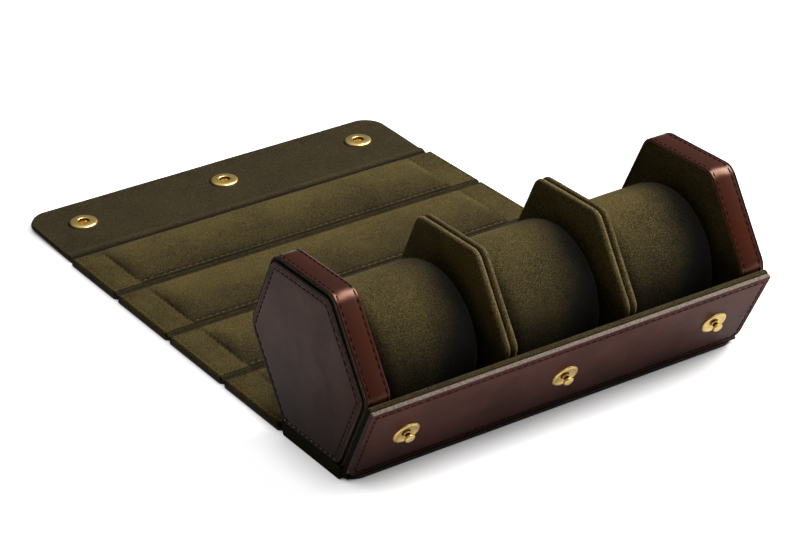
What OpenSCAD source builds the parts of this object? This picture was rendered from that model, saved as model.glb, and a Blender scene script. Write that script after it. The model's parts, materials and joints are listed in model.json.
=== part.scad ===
// Hexagonal travel roll for three watches, lying open: a long base with two end caps, two
// dividers and three lift-out cushions, and a padded wrap that folds round them and snaps shut.
// +X runs along the case, +Y towards the open wrap, +Z up. The origin is the middle of the
// underside of the base, on the table.

/* [Case] */
// Length over the two end caps
case_len = 210; // [180:1:250]
// Side of the end caps' hexagon
cap_side = 47.4; // [40:0.1:56]
// Space between the end caps and the closed wrap
wrap_gap = 1.2; // [1.1:0.1:3]
// Thickness of an end cap, from its outer leather to its suede face
cap_depth = 13.7; // [10:0.1:18]
// Rounding of the end caps' corners
cap_round = 8; // [5:0.1:12]
// Thickness of the leather plate on the outside of an end cap
plate_t = 1.3; // [1:0.1:2]
// Distance that the plate's edge stays inside the end cap's
plate_inset = 2.2; // [1.5:0.1:4]
// Thickness of the backing that shows round the plate
backing_t = 0.8; // [0.6:0.1:2]

/* [Layers] */
// Thickness of the outer leather
leather_t = 1.6; // [1.5:0.1:2.2]
// Thickness of the suede lining
lining_t = 0.9; // [0.8:0.1:1.4]
// Thickness of the stiffening boards in the wrap
board_t = 1.2; // [1:0.1:2.2]
// Height of the fold axes above the table
fold_z = 1.45; // [1.3:0.05:1.7]
// Distance between the outer leathers at a fold
leather_gap = 2; // [2:0.1:3]
// Width of the channel between two linings at a fold
channel_w = 4.2; // [4:0.1:6]
// Distance between the boards at a fold
board_gap = 5.2; // [4.4:0.1:8]
// Space between the outer leathers and the suede roll that fills a fold
roll_slack = 0.1; // [0.05:0.05:0.4]

/* [Wrap] */
// Distance from the crease before the flap to where the next fold would be
crease_setback = 2.75; // [0.5:0.05:6]
// Distance that the padding stays from the ends of the wrap
pad_margin = 15.6; // [13:0.1:22]
// Distance that the padding stays from the folds
pad_inset = 4.2; // [3.6:0.1:8]
// Height of the padding's crown above the flat margins
pad_crown = 2.6; // [1.5:0.1:2.7]
// Length of the slope at each end of the padding
pad_slope = 6; // [3:0.5:12]
// Corner rounding of the outer leather panels
panel_round = 2; // [1:0.1:4]

/* [Front panel] */
// Thickness of the front panel, lining and leather included
front_t = 5; // [4.4:0.1:8]
// Thickness of the front panel's outer leather, which is turned in round its edge
front_leather_t = 2.2; // [1.6:0.1:2.6]
// Distance that the front panel's ends stay inside the end caps
front_inset = 1; // [0:0.1:3]
// Distance from the end caps' front corner down to the top of the front leather
front_drop = 0.6; // [0.6:0.1:4]
// Corner rounding of the base leather under the front panel
base_round = 8; // [3:0.5:12]
// Rounding of the front leather's two lower corners
front_round = 6; // [2:0.1:8]

/* [Flap] */
// Thickness of the flap's suede lining
flap_lining_t = 0.8; // [0.6:0.1:1]
// Distance that the flap's ends stay inside the wrap's
flap_inset = 1; // [0:0.1:4]
// Radius of the flap's two outer corners
flap_round = 12.5; // [6:0.5:18]
// Height of the closed flap's edge above the table
flap_foot = 0.3; // [0.3:0.1:4]

/* [Dividers] */
// Space between the dividers and the closed wrap's padding
divider_clearance = 0.85; // [0.3:0.05:4]
// Thickness of a divider, which is two padded boards back to back
divider_t = 7.2; // [5:0.1:10]
// Seam between a divider's two boards
divider_seam = 0.3; // [0.2:0.1:0.6]
// Thickness of the suede round a divider's boards
divider_cover_t = 0.9; // [0.6:0.1:1.2]
// Rounding of the dividers' corners
divider_round = 7; // [2:0.1:8]
// Position of the left divider along the case
divider_left_x = -29.5; // [-34:0.5:-26]
// Position of the right divider along the case
divider_right_x = 33; // [26:0.5:34]

/* [Cushions] */
// Room for a watch between the cushions and the end caps' top
watch_room = 13; // [8:0.1:18]
// Spare length beside a cushion in the narrowest compartment
cushion_play = 2.7; // [1:0.1:10]
// Rounding of a cushion's ends
cushion_round = 8; // [3:0.5:12]
// Thickness of the suede round a cushion
cushion_cover_t = 1.2; // [0.8:0.1:2]
// Thickness of the foam pads that the cushions lie on
floor_pad_t = 3.1; // [2:0.1:5]
// Space between a cushion and what it lies on
cushion_gap = 0.3; // [0.2:0.1:0.6]

/* [Snap fasteners] */
// Distance from the ends of the case to the outer snap fasteners
snap_inset = 24; // [18:0.5:45]
// Distance from the end caps' front corner down to the studs
snap_drop = 24.2; // [16:0.1:28]
// Radius of a stud's base ring
stud_ring_r = 6.4; // [5:0.1:7]
// Height of a stud's base ring
stud_ring_h = 0.9; // [0.7:0.1:1.2]
// Radius of a stud's head
stud_head_r = 2.45; // [2.2:0.05:2.6]
// Height of a stud's head above the leather
stud_h = 4.2; // [3.9:0.1:4.4]
// Radius of a socket's domed ring
socket_r = 7; // [6:0.1:8]
// Height of a socket's domed ring above the lining
socket_h = 1.5; // [1.4:0.1:1.8]
// Radius of a socket's hole
socket_hole_r = 2.75; // [2.7:0.05:3]
// Radius of the domed cap on the outside of the flap
snap_cap_r = 7.5; // [6.5:0.1:8.5]
// Height that the domed caps stand out of the flap's leather
snap_cap_proud = 0.8; // [0.4:0.1:1.2]

/* [Hidden] */
$fn = 64;

plum = "#3a2a29";
chestnut = "#6b3a2a";
olive = "#4e4528";
felt = "#3c3823";
board_grey = "#8a8172";
foam = "#c8bfa4";
brass = "#c9a24a";

// Closed, the fold axes are the corners of a hexagon round the end caps' centre.
cap_apothem = cap_side * cos(30);
wrap_t = leather_t + board_t + lining_t;
axis_apothem = cap_apothem + wrap_gap + wrap_t - fold_z;
mid_z = fold_z + axis_apothem;
base_t = mid_z - cap_apothem;
pitch = 2 * axis_apothem * tan(30);
fold_y = [for (i = [0 : 3]) pitch / 2 + i * pitch];
crease_y = fold_y[3] + pitch - crease_setback;
roll_r = leather_gap / 2 - roll_slack;

// The end cap's lower front corner is the front panel's origin, and "up" runs along it.
front_top = cap_side - front_drop;
lining_top = cap_side - 0.3;
stud_up = cap_side - snap_drop;

// Closed, the snaps hold the flap this far off the front leather.
snap_clearance = 0.2;
snap_stand = stud_ring_h + socket_h + snap_clearance;
flap_t = leather_t + flap_lining_t;
flap_apothem = cap_apothem + front_t + snap_stand + flap_t - fold_z;
bend_y = fold_y[3] + 2 * flap_apothem * tan(30);
bend_up = cap_side / 2 + (axis_apothem - flap_apothem / 2) / cos(30);
flap_end_up = (flap_foot + (front_t + snap_stand + flap_t) * sin(30) - base_t) / cos(30);
flap_len = bend_up - flap_end_up;
socket_y = bend_up - stud_up;

// Open, the flap rests on its three domed caps, which tilts it by a few degrees.
flap_reach = norm([socket_y, fold_z + snap_cap_proud]);
flap_tilt = atan2(fold_z + snap_cap_proud, socket_y) - asin(fold_z / flap_reach);

// Between the end caps stand the dividers, and in the compartments between them lie the cushions.
cap_inner_x = case_len / 2 - cap_depth;
divider_side = cap_side - (pad_crown - wrap_gap + divider_clearance) / cos(30);
divider_foot = 4;
left_room = cap_inner_x + divider_left_x - divider_t / 2;
middle_room = divider_right_x - divider_left_x - divider_t;
right_room = cap_inner_x - divider_right_x - divider_t / 2;
cushion_len = min(left_room, middle_room, right_room) - cushion_play;
cushion_r = (2 * cap_apothem - floor_pad_t - cushion_gap - watch_room) / 2;
cushion_z = base_t + floor_pad_t + cushion_gap + cushion_r;
cushion_left_x = (divider_left_x - divider_t / 2 - cap_inner_x) / 2;
cushion_middle_x = (divider_left_x + divider_right_x) / 2;
cushion_right_x = (divider_right_x + divider_t / 2 + cap_inner_x) / 2;
snap_pitch = case_len / 2 - snap_inset;
slack = 0.05;

// Band round an end cap, and the suede face inside it
band_t = 1.6;
cap_lining_t = 0.8;

// Extrudes a (y, z) outline along the case, centred on x.
module along_case(width) {
    rotate([90, 0, 90])
        translate([0, 0, -width / 2])
            linear_extrude(width)
                children();
}

// Places (x, up, outward) coordinates on the front panel, from the end caps' lower corner.
module on_front() {
    translate([0, -cap_side / 2, base_t])
        rotate([120, 0, 0])
            children();
}

// Places (x, y from the bend, z) coordinates on the flap as it rests on its domed caps.
module on_flap() {
    translate([0, bend_y, fold_z])
        rotate([flap_tilt, 0, 0])
            translate([0, 0, -fold_z])
                children();
}

module at_snaps() {
    for (i = [-1 : 1])
        translate([i * snap_pitch, 0, 0])
            children();
}

// A rectangle from y0 to y1, centred on x, with its corners rounded by r.
module rounded_sheet(width, y0, y1, r) {
    translate([-width / 2 + r, y0])
        square([width - 2 * r, y1 - y0]);
    translate([-width / 2, y0 + r])
        square([width, y1 - y0 - 2 * r]);
    for (side = [-1, 1], y = [y0 + r, y1 - r])
        translate([side * (width / 2 - r), y])
            circle(r);
}

// A rectangle whose two corners at y1 alone are rounded.
module end_rounded_sheet(width, y0, y1, r) {
    translate([-width / 2 + r, y0])
        square([width - 2 * r, y1 - y0]);
    translate([-width / 2, y0])
        square([width, y1 - y0 - r]);
    for (side = [-1, 1])
        translate([side * (width / 2 - r), y1 - r])
            circle(r);
}

// A hexagon with flats above and below, and its corners rounded by r. The corner circles reach
// a hair past the flats, so that the outlines cross instead of touching.
corner_lap = 0.005;

module rounded_hex(side, r) {
    inner_apothem = side * cos(30) - r;
    inner_side = inner_apothem / cos(30);
    circle(inner_side, $fn = 6);
    for (a = [0 : 60 : 300])
        rotate(a) {
            translate([-inner_side / 2, 0])
                square([inner_side, inner_apothem + r]);
            translate([inner_side, 0])
                circle(r + corner_lap);
        }
}

// A slab with the end caps' section, from x0 to x1.
module hex_slab(x0, x1, side, r) {
    translate([x0, 0, mid_z])
        rotate([90, 0, 90])
            linear_extrude(x1 - x0)
                rounded_hex(side, r);
}

// Base: leather on the table, a board, and suede that wraps over the board's ends
base_wide = case_len - 2 * plate_t;
base_front_y = -cap_side / 2;
base_back_y = fold_y[0] - channel_w / 2;
front_foot_y = base_front_y - front_t * cos(30);

module base_leather() {
    color(plum)
        mirror([0, 1, 0])
            linear_extrude(leather_t)
                end_rounded_sheet(base_wide, leather_gap / 2 - fold_y[0], -front_foot_y, base_round);
}

module base_board() {
    color(board_grey)
        translate([-base_wide / 2 + lining_t, base_front_y, leather_t])
            cube([base_wide - 2 * lining_t, base_back_y - base_front_y,
                  base_t - leather_t - lining_t]);
}

module base_lining() {
    color(olive)
        difference() {
            translate([-base_wide / 2, base_front_y, leather_t])
                cube([base_wide, base_back_y - base_front_y, base_t - leather_t]);
            base_board();
        }
}

// Strips that bind the base's two ends to the end caps, below the plates and flush with them
strip_gap = 0.1;

module base_end_strips() {
    strip_h = base_t + plate_inset - strip_gap;
    color(felt)
        for (side = [-1, 1])
            translate([side * (case_len - plate_t) / 2, 0, strip_h / 2])
                cube([plate_t, cap_side - 4 * strip_gap, strip_h], center = true);
}

// Foam pads under the three cushions, between the dividers' feet
floor_pad_wide = divider_side - 6;

module floor_pad(x0, x1) {
    translate([(x0 + x1) / 2, 0, base_t])
        linear_extrude(floor_pad_t)
            rounded_sheet(x1 - x0, -floor_pad_wide / 2, floor_pad_wide / 2, 3);
}

module floor_pads() {
    half_divider = divider_t / 2 + 0.5;
    color(olive) {
        floor_pad(-cap_inner_x + 0.5, divider_left_x - half_divider);
        floor_pad(divider_left_x + half_divider, divider_right_x - half_divider);
        floor_pad(divider_right_x + half_divider, cap_inner_x - 0.5);
    }
}

// Front panel: leather outside, a padded board, and suede that wraps over its top and ends
front_wide = case_len - 2 * front_inset;
front_core_t = front_t - front_leather_t;

module front_leather() {
    color(plum)
        on_front()
            difference() {
                translate([0, front_top, front_core_t])
                    mirror([0, 1, 0])
                        linear_extrude(front_leather_t)
                            end_rounded_sheet(front_wide, 0, front_top, front_round);
                at_snaps()
                    translate([0, stud_up, front_core_t - 1])
                        cylinder(r = rivet_r + slack, h = front_leather_t + 2);
            }
}

module front_core_block() {
    translate([-front_wide / 2 + lining_t, 0, lining_t])
        cube([front_wide - 2 * lining_t, lining_top - lining_t, front_core_t - lining_t]);
}

module front_board() {
    color(board_grey)
        on_front()
            difference() {
                front_core_block();
                at_snaps()
                    translate([0, stud_up, front_core_t - rivet_flange_t - slack])
                        cylinder(r = rivet_flange_r + 0.2, h = 2);
            }
}

module front_lining() {
    edge_r = front_core_t / 2;
    color(olive)
        on_front()
            difference() {
                rotate([90, 0, 90])
                    translate([0, 0, -front_wide / 2])
                        linear_extrude(front_wide) {
                            square([lining_top - edge_r, front_core_t]);
                            translate([0, edge_r])
                                square([lining_top, front_core_t - edge_r]);
                            translate([lining_top - edge_r, edge_r])
                                circle(edge_r);
                        }
                front_core_block();
            }
}

// Filler between the base's leather and the foot of the front panel
module front_fold_filler() {
    color(felt)
        along_case(front_wide - 1)
            polygon([[base_front_y, leather_t], [base_front_y, base_t],
                     [front_foot_y + 0.5, base_t - (base_front_y - front_foot_y - 0.5) * tan(30)],
                     [front_foot_y + 0.5, leather_t]]);
}

// End caps: leather plate on a backing, then a leather band round a core, with a suede face
module cap_plate() {
    color(plum)
        hex_slab(case_len / 2 - plate_t, case_len / 2, cap_side - plate_inset / cos(30),
                 cap_round - plate_inset);
}

band_outer_x = case_len / 2 - plate_t - backing_t;

module cap_backing() {
    color(felt)
        hex_slab(band_outer_x, case_len / 2 - plate_t, cap_side, cap_round);
}

module cap_core() {
    color(board_grey)
        hex_slab(cap_inner_x + cap_lining_t, band_outer_x,
                 cap_side - band_t / cos(30), cap_round - band_t);
}

module cap_band() {
    color(chestnut)
        difference() {
            hex_slab(cap_inner_x, band_outer_x, cap_side, cap_round);
            hex_slab(cap_inner_x - 1, band_outer_x + 1,
                     cap_side - band_t / cos(30), cap_round - band_t);
        }
}

module cap_lining() {
    color(olive)
        hex_slab(cap_inner_x, cap_inner_x + cap_lining_t,
                 cap_side - band_t / cos(30), cap_round - band_t);
}

// Dividers: two suede-covered boards back to back, standing on the base by a foot
module divider_outline(inset) {
    rounded_hex(divider_side - inset / cos(30), divider_round - inset);
    half = divider_side / 2 - divider_foot / 2 - inset;
    translate([-half, base_t - mid_z + inset])
        square([2 * half, divider_foot]);
}

module divider_slab(x, t, inset) {
    translate([x - t / 2, 0, mid_z])
        rotate([90, 0, 90])
            linear_extrude(t)
                divider_outline(inset);
}

cover_t = (divider_t - divider_seam) / 2;
cover_shift = (cover_t + divider_seam) / 2;

module divider_core(x) {
    divider_slab(x, cover_t - 2 * divider_cover_t, divider_cover_t);
}

module divider_cover(x) {
    color(olive)
        difference() {
            divider_slab(x, cover_t, 0);
            divider_core(x);
        }
}

module divider_boards(x) {
    color(board_grey)
        for (side = [-1, 1])
            divider_core(x + side * cover_shift);
}

// Snap fasteners: studs on the front panel, each riveted from behind
rivet_r = 1.4;
rivet_flange_r = 4.6;
rivet_flange_t = 0.5;
stud_neck_r = 1.7;
stud_head_half = 0.95;
stud_bore_h = 1.2;

module snap_studs() {
    ring = [[stud_neck_r, 0], [stud_ring_r, 0], [stud_ring_r, 0.35],
            [stud_ring_r - 0.8, stud_ring_h - 0.1], [stud_ring_r - 1.8, stud_ring_h],
            [stud_neck_r + 1.6, stud_ring_h - 0.35], [stud_neck_r, 0.45]];
    head_z = stud_h - stud_head_half;
    color(brass)
        on_front()
            at_snaps()
                translate([0, stud_up, front_t])
                    difference() {
                        rotate_extrude() {
                            polygon(ring);
                            square([stud_neck_r, head_z]);
                            translate([0, head_z - stud_head_half])
                                square([stud_head_r - stud_head_half, 2 * stud_head_half]);
                            translate([stud_head_r - stud_head_half, head_z])
                                circle(stud_head_half);
                        }
                        translate([0, 0, -1])
                            cylinder(r = rivet_r + slack, h = stud_bore_h + 1);
                    }
}

module snap_rivets() {
    color(brass)
        on_front()
            at_snaps()
                translate([0, stud_up, front_core_t - rivet_flange_t]) {
                    cylinder(r = rivet_flange_r, h = rivet_flange_t);
                    cylinder(r = rivet_r, h = rivet_flange_t + front_leather_t + stud_bore_h);
                }
}

// Wrap panels: outer leather, board, foam pad and suede lining, from fold y0 to fold y1
pad_z = leather_t + board_t;

module fold_roll(y) {
    color(felt)
        translate([0, y, fold_z])
            along_case(case_len - 2)
                circle(roll_r);
}

module panel_leather(y0, y1) {
    color(plum)
        linear_extrude(leather_t)
            rounded_sheet(case_len, y0 + leather_gap / 2, y1 - leather_gap / 2, panel_round);
}

module panel_board(y0, y1) {
    color(board_grey)
        translate([0, 0, leather_t])
            linear_extrude(board_t)
                rounded_sheet(case_len - 4, y0 + board_gap / 2, y1 - board_gap / 2, 1);
}

// A crowned block over the padded area, whose crown drops by "sink" all over.
module crowned_block(y0, y1, z0, sink) {
    half = (y1 - y0) / 2 - pad_inset;
    mid = (y0 + y1) / 2;
    crown_r = (half * half + pad_crown * pad_crown) / (2 * pad_crown);
    top = wrap_t + pad_crown;
    end_x = case_len / 2 - pad_margin;
    intersection() {
        translate([0, mid, top - crown_r])
            along_case(2 * end_x)
                circle(crown_r - sink, $fn = 256);
        translate([0, mid - half + 2 * sink, 0])
            rotate([90, 0, 0])
                mirror([0, 0, 1])
                    linear_extrude(2 * half - 4 * sink)
                        polygon([[-end_x + 2 * sink, z0], [end_x - 2 * sink, z0],
                                 [end_x - 2 * sink, wrap_t - sink],
                                 [end_x - pad_slope, top - sink],
                                 [-end_x + pad_slope, top - sink],
                                 [-end_x + 2 * sink, wrap_t - sink]]);
    }
}

module panel_pad(y0, y1) {
    color(foam)
        crowned_block(y0, y1, pad_z, lining_t);
}

module panel_lining(y0, y1) {
    color(olive)
        difference() {
            union() {
                translate([-case_len / 2 + 0.6, y0 + channel_w / 2, pad_z])
                    cube([case_len - 1.2, y1 - y0 - channel_w, lining_t]);
                crowned_block(y0, y1, pad_z, 0);
            }
            crowned_block(y0, y1, pad_z, lining_t);
        }
}

// Flap root: the stretch of flap between the crease and the bend, fixed to the front upper panel
flap_wide = case_len - 2 * flap_inset;
bend_gap = 0.3;
lining_bend_gap = 0.8;
crease_foot = 0.5;

module flap_root_leather() {
    color(plum)
        translate([-flap_wide / 2, crease_y + leather_gap / 2, 0])
            cube([flap_wide, bend_y - bend_gap - crease_y - leather_gap / 2, leather_t]);
}

// Suede that joins the two leathers under the crease and lines the flap's root
module flap_root_lining() {
    crease_start = crease_y - leather_gap / 2;
    color(olive)
        translate([-flap_wide / 2, crease_start, 0]) {
            translate([0, 0, crease_foot])
                cube([flap_wide, leather_gap, flap_t - crease_foot]);
            translate([0, 0, leather_t])
                cube([flap_wide, bend_y - lining_bend_gap - crease_start, flap_lining_t]);
        }
}

// Flap: leather and suede with the three domed caps, sockets and socket springs
post_r = 3.3;
post_bore_r = 2.8;
cap_seat = 0.4;

module flap_leather() {
    color(plum)
        on_flap()
            difference() {
                linear_extrude(leather_t)
                    end_rounded_sheet(flap_wide, bend_gap, flap_len, flap_round);
                at_snaps()
                    translate([0, socket_y, 0]) {
                        translate([0, 0, -1])
                            cylinder(r = post_r + slack, h = leather_t + 2);
                        translate([0, 0, -1])
                            cylinder(r = snap_cap_r + slack, h = 1 + cap_seat);
                    }
            }
}

module flap_lining() {
    color(olive)
        on_flap()
            difference() {
                translate([0, 0, leather_t])
                    linear_extrude(flap_lining_t)
                        end_rounded_sheet(flap_wide - 0.8, lining_bend_gap, flap_len - 0.4,
                                          flap_round - 0.4);
                at_snaps()
                    translate([0, socket_y, 0])
                        cylinder(r = post_r + slack, h = flap_t + 1);
            }
}

module snap_caps() {
    dome_h = snap_cap_proud + cap_seat;
    dome_r = (snap_cap_r * snap_cap_r + dome_h * dome_h) / (2 * dome_h);
    color(brass)
        on_flap()
            at_snaps()
                translate([0, socket_y, 0])
                    rotate_extrude() {
                        intersection() {
                            translate([0, dome_r - snap_cap_proud])
                                circle(dome_r, $fn = 256);
                            translate([0, -snap_cap_proud])
                                square([snap_cap_r, dome_h]);
                        }
                        translate([post_bore_r, cap_seat - 0.1])
                            square([post_r - post_bore_r, flap_t - cap_seat + 0.3]);
                    }
}

socket_groove_r = 3.6;
socket_groove_z = 0.25;
spring_wire_r = 0.3;
spring_offset = 2.1;
spring_z = socket_groove_z + spring_wire_r;

module snap_sockets() {
    groove_top = socket_groove_z + 2 * spring_wire_r + 0.1;
    dome = [[socket_groove_r, 0], [socket_r, 0], [socket_r, 0.3],
            [socket_r - 0.7, socket_h - 0.65], [socket_r - 2.2, socket_h - 0.05],
            [socket_hole_r + 0.7, socket_h], [socket_hole_r + 0.1, socket_h - 0.15],
            [socket_hole_r, socket_h - 0.35], [socket_hole_r, groove_top],
            [socket_groove_r, groove_top]];
    color(brass)
        on_flap()
            at_snaps()
                translate([0, socket_y, flap_t])
                    rotate_extrude()
                        polygon(dome);
}

module snap_springs() {
    wire_len = 2 * sqrt(socket_groove_r * socket_groove_r
                        - (spring_offset + spring_wire_r) * (spring_offset + spring_wire_r)) - 0.1;
    color(brass)
        on_flap()
            at_snaps()
                translate([0, socket_y, flap_t + spring_z])
                    for (side = [-1, 1])
                        translate([-wire_len / 2, side * spring_offset, 0])
                            rotate([0, 90, 0])
                                cylinder(r = spring_wire_r, h = wire_len, $fn = 24);
}

// Cushions: a foam roll in a suede cover with rounded ends
module cushion_form(r, len, edge) {
    rotate([0, 90, 0])
        rotate_extrude() {
            translate([0, -len / 2])
                square([r - edge, len]);
            translate([0, -len / 2 + edge])
                square([r, len - 2 * edge]);
            for (side = [-1, 1])
                translate([r - edge, side * (len / 2 - edge)])
                    circle(edge);
        }
}

module cushion_core(x) {
    color(foam)
        translate([x, 0, cushion_z])
            cushion_form(cushion_r - cushion_cover_t, cushion_len - 2 * cushion_cover_t,
                         cushion_round - cushion_cover_t);
}

module cushion_cover(x) {
    color(olive)
        difference() {
            translate([x, 0, cushion_z])
                cushion_form(cushion_r, cushion_len, cushion_round);
            cushion_core(x);
        }
}

base_leather();
base_board();
base_lining();
floor_pads();
front_leather();
front_board();
front_lining();
front_fold_filler();
base_end_strips();
mirror([1, 0, 0]) cap_plate();  // cap_left_plate
mirror([1, 0, 0]) cap_backing();  // cap_left_backing
mirror([1, 0, 0]) cap_core();  // cap_left_core
mirror([1, 0, 0]) cap_band();  // cap_left_band
mirror([1, 0, 0]) cap_lining();  // cap_left_lining
cap_plate();  // cap_right_plate
cap_backing();  // cap_right_backing
cap_core();  // cap_right_core
cap_band();  // cap_right_band
cap_lining();  // cap_right_lining
divider_cover(divider_left_x - cover_shift);  // divider_left_outer_cover
divider_cover(divider_left_x + cover_shift);  // divider_left_inner_cover
divider_boards(divider_left_x);  // divider_left_boards
divider_cover(divider_right_x - cover_shift);  // divider_right_inner_cover
divider_cover(divider_right_x + cover_shift);  // divider_right_outer_cover
divider_boards(divider_right_x);  // divider_right_boards
snap_studs();
snap_rivets();
fold_roll(fold_y[0]);  // back_lower_roll
panel_leather(fold_y[0], fold_y[1]);  // back_lower_leather
panel_board(fold_y[0], fold_y[1]);  // back_lower_board
panel_pad(fold_y[0], fold_y[1]);  // back_lower_pad
panel_lining(fold_y[0], fold_y[1]);  // back_lower_lining
fold_roll(fold_y[1]);  // back_upper_roll
panel_leather(fold_y[1], fold_y[2]);  // back_upper_leather
panel_board(fold_y[1], fold_y[2]);  // back_upper_board
panel_pad(fold_y[1], fold_y[2]);  // back_upper_pad
panel_lining(fold_y[1], fold_y[2]);  // back_upper_lining
fold_roll(fold_y[2]);  // top_roll
panel_leather(fold_y[2], fold_y[3]);  // top_leather
panel_board(fold_y[2], fold_y[3]);  // top_board
panel_pad(fold_y[2], fold_y[3]);  // top_pad
panel_lining(fold_y[2], fold_y[3]);  // top_lining
fold_roll(fold_y[3]);  // front_upper_roll
panel_leather(fold_y[3], crease_y);  // front_upper_leather
panel_board(fold_y[3], crease_y);  // front_upper_board
panel_pad(fold_y[3], crease_y);  // front_upper_pad
panel_lining(fold_y[3], crease_y);  // front_upper_lining
flap_root_leather();
flap_root_lining();
flap_leather();
flap_lining();
snap_caps();
snap_sockets();
snap_springs();
cushion_cover(cushion_left_x);  // cushion_left_cover
cushion_core(cushion_left_x);  // cushion_left_core
cushion_cover(cushion_middle_x);  // cushion_middle_cover
cushion_core(cushion_middle_x);  // cushion_middle_core
cushion_cover(cushion_right_x);  // cushion_right_cover
cushion_core(cushion_right_x);  // cushion_right_core
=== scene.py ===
import json
import math

import bmesh
import bpy
from mathutils import Matrix, Quaternion, Vector, noise

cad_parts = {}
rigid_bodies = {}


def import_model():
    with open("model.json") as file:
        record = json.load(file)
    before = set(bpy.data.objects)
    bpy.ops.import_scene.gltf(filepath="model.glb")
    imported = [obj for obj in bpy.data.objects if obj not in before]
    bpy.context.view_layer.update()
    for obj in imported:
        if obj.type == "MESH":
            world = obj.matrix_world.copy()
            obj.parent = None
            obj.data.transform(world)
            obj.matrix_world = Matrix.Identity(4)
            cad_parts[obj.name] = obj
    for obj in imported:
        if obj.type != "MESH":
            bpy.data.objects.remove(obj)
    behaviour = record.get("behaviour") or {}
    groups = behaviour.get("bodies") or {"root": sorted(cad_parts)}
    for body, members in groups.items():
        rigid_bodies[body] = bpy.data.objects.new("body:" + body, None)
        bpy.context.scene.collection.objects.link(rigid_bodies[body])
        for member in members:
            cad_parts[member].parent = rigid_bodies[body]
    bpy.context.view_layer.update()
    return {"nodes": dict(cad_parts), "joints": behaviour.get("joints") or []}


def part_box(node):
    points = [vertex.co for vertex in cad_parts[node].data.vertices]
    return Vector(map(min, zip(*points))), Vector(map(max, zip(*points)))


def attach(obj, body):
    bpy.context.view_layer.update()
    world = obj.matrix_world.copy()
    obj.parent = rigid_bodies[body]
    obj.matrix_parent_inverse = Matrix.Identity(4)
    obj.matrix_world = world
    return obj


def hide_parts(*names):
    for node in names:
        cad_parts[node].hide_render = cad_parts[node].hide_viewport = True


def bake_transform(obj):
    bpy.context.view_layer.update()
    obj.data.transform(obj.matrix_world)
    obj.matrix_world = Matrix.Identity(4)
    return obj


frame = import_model()

# The photographer's set: a long lens at the front left, a little above the case, which stands on
# white paper. A softbox on the right leaves each divider's shade on the cushion beside it, deepened by
# painted shade on the cushions, and a strip lamp above shows only as a shine on the leather and the brass.
lens_mm = 124.875
sensor_mm = 36.0
camera_place = (-0.6022, -0.8917, 0.6030)
camera_heading = math.radians(31.488)
camera_dip = math.radians(26.745)
camera_roll = math.radians(-2.6)
wrap_middle = (0.0, 0.08, 0.0)


def place_in_scene(name, data):
    """A new object of the scene, made of this mesh, lamp or camera."""
    made = bpy.data.objects.new(name, data)
    bpy.context.scene.collection.objects.link(made)
    return made


camera_data = bpy.data.cameras.new("camera")
camera_data.sensor_fit = "HORIZONTAL"
camera_data.sensor_width = sensor_mm
camera_data.lens = lens_mm
camera_data.clip_end = 20.0
camera = place_in_scene("camera", camera_data)
bpy.context.scene.camera = camera
looking = Vector((math.sin(camera_heading) * math.cos(camera_dip),
                  math.cos(camera_heading) * math.cos(camera_dip), -math.sin(camera_dip)))
camera.rotation_mode = "QUATERNION"
camera.rotation_quaternion = looking.to_track_quat("-Z", "Y") @ Quaternion((0.0, 0.0, 1.0), camera_roll)
camera.location = camera_place
bpy.context.scene.view_settings.view_transform = "Standard"


def colour(hex_code):
    """A colour written as an sRGB hex value, as the linear one that a shader takes."""
    levels = [int(hex_code[i:i + 2], 16) / 255 for i in (0, 2, 4)]
    return tuple(v / 12.92 if v <= 0.04045 else ((v + 0.055) / 1.055) ** 2.4 for v in levels) + (1.0,)


def add_node(tree, kind, inputs=(), **settings):
    """Adds a node. An input is a value to set, a socket to link, or a node whose first output is linked."""
    node = tree.nodes.new(kind)
    for key, value in settings.items():
        setattr(node, key, value)
    for key, value in dict(inputs).items():
        if isinstance(value, bpy.types.Node):
            value = next(socket for socket in value.outputs if socket.enabled)
        if isinstance(value, bpy.types.NodeSocket):
            tree.links.new(value, node.inputs[key])
        else:
            node.inputs[key].default_value = value
    return node


def new_material(name):
    """An empty material and its node tree."""
    material = bpy.data.materials.new(name)
    material.use_nodes = True
    material.node_tree.nodes.clear()
    return material, material.node_tree


def with_surface(material, inputs):
    """Gives a material its shader with these inputs, and returns it."""
    shader = add_node(material.node_tree, "ShaderNodeBsdfPrincipled", inputs)
    add_node(material.node_tree, "ShaderNodeOutputMaterial", {"Surface": shader})
    return material


def soft_lamp(name, place, long, wide, power):
    """A softbox: an oblong lamp that faces the case, with its long side level."""
    data = bpy.data.lights.new(name, "AREA")
    data.shape = "RECTANGLE"
    data.size = long
    data.size_y = wide
    data.energy = power
    lamp = place_in_scene(name, data)
    lamp.location = place
    lamp.rotation_mode = "QUATERNION"
    lamp.rotation_quaternion = (Vector(wrap_middle) - Vector(place)).to_track_quat("-Z", "Y")
    return lamp


soft_lamp("softbox on the right", (1.35, -0.20, 1.20), 1.0, 0.8, 44.0)
strip = soft_lamp("strip above, for the gloss", (0.46, -0.30, 1.38), 1.4, 0.6, 44.0)
strip.visible_diffuse = False

ambient_strength = 0.09
backdrop_strength = 1.0
wall_strength, ceiling_strength = 0.14, 0.7
world = bpy.data.worlds.new("white studio")
bpy.context.scene.world = world
world.use_nodes = True
sky = world.node_tree
sky.nodes.clear()
seen = add_node(sky, "ShaderNodeLightPath")
towards = add_node(sky, "ShaderNodeTexCoord")
height = add_node(sky, "ShaderNodeSeparateXYZ", {"Vector": towards.outputs["Generated"]})
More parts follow.
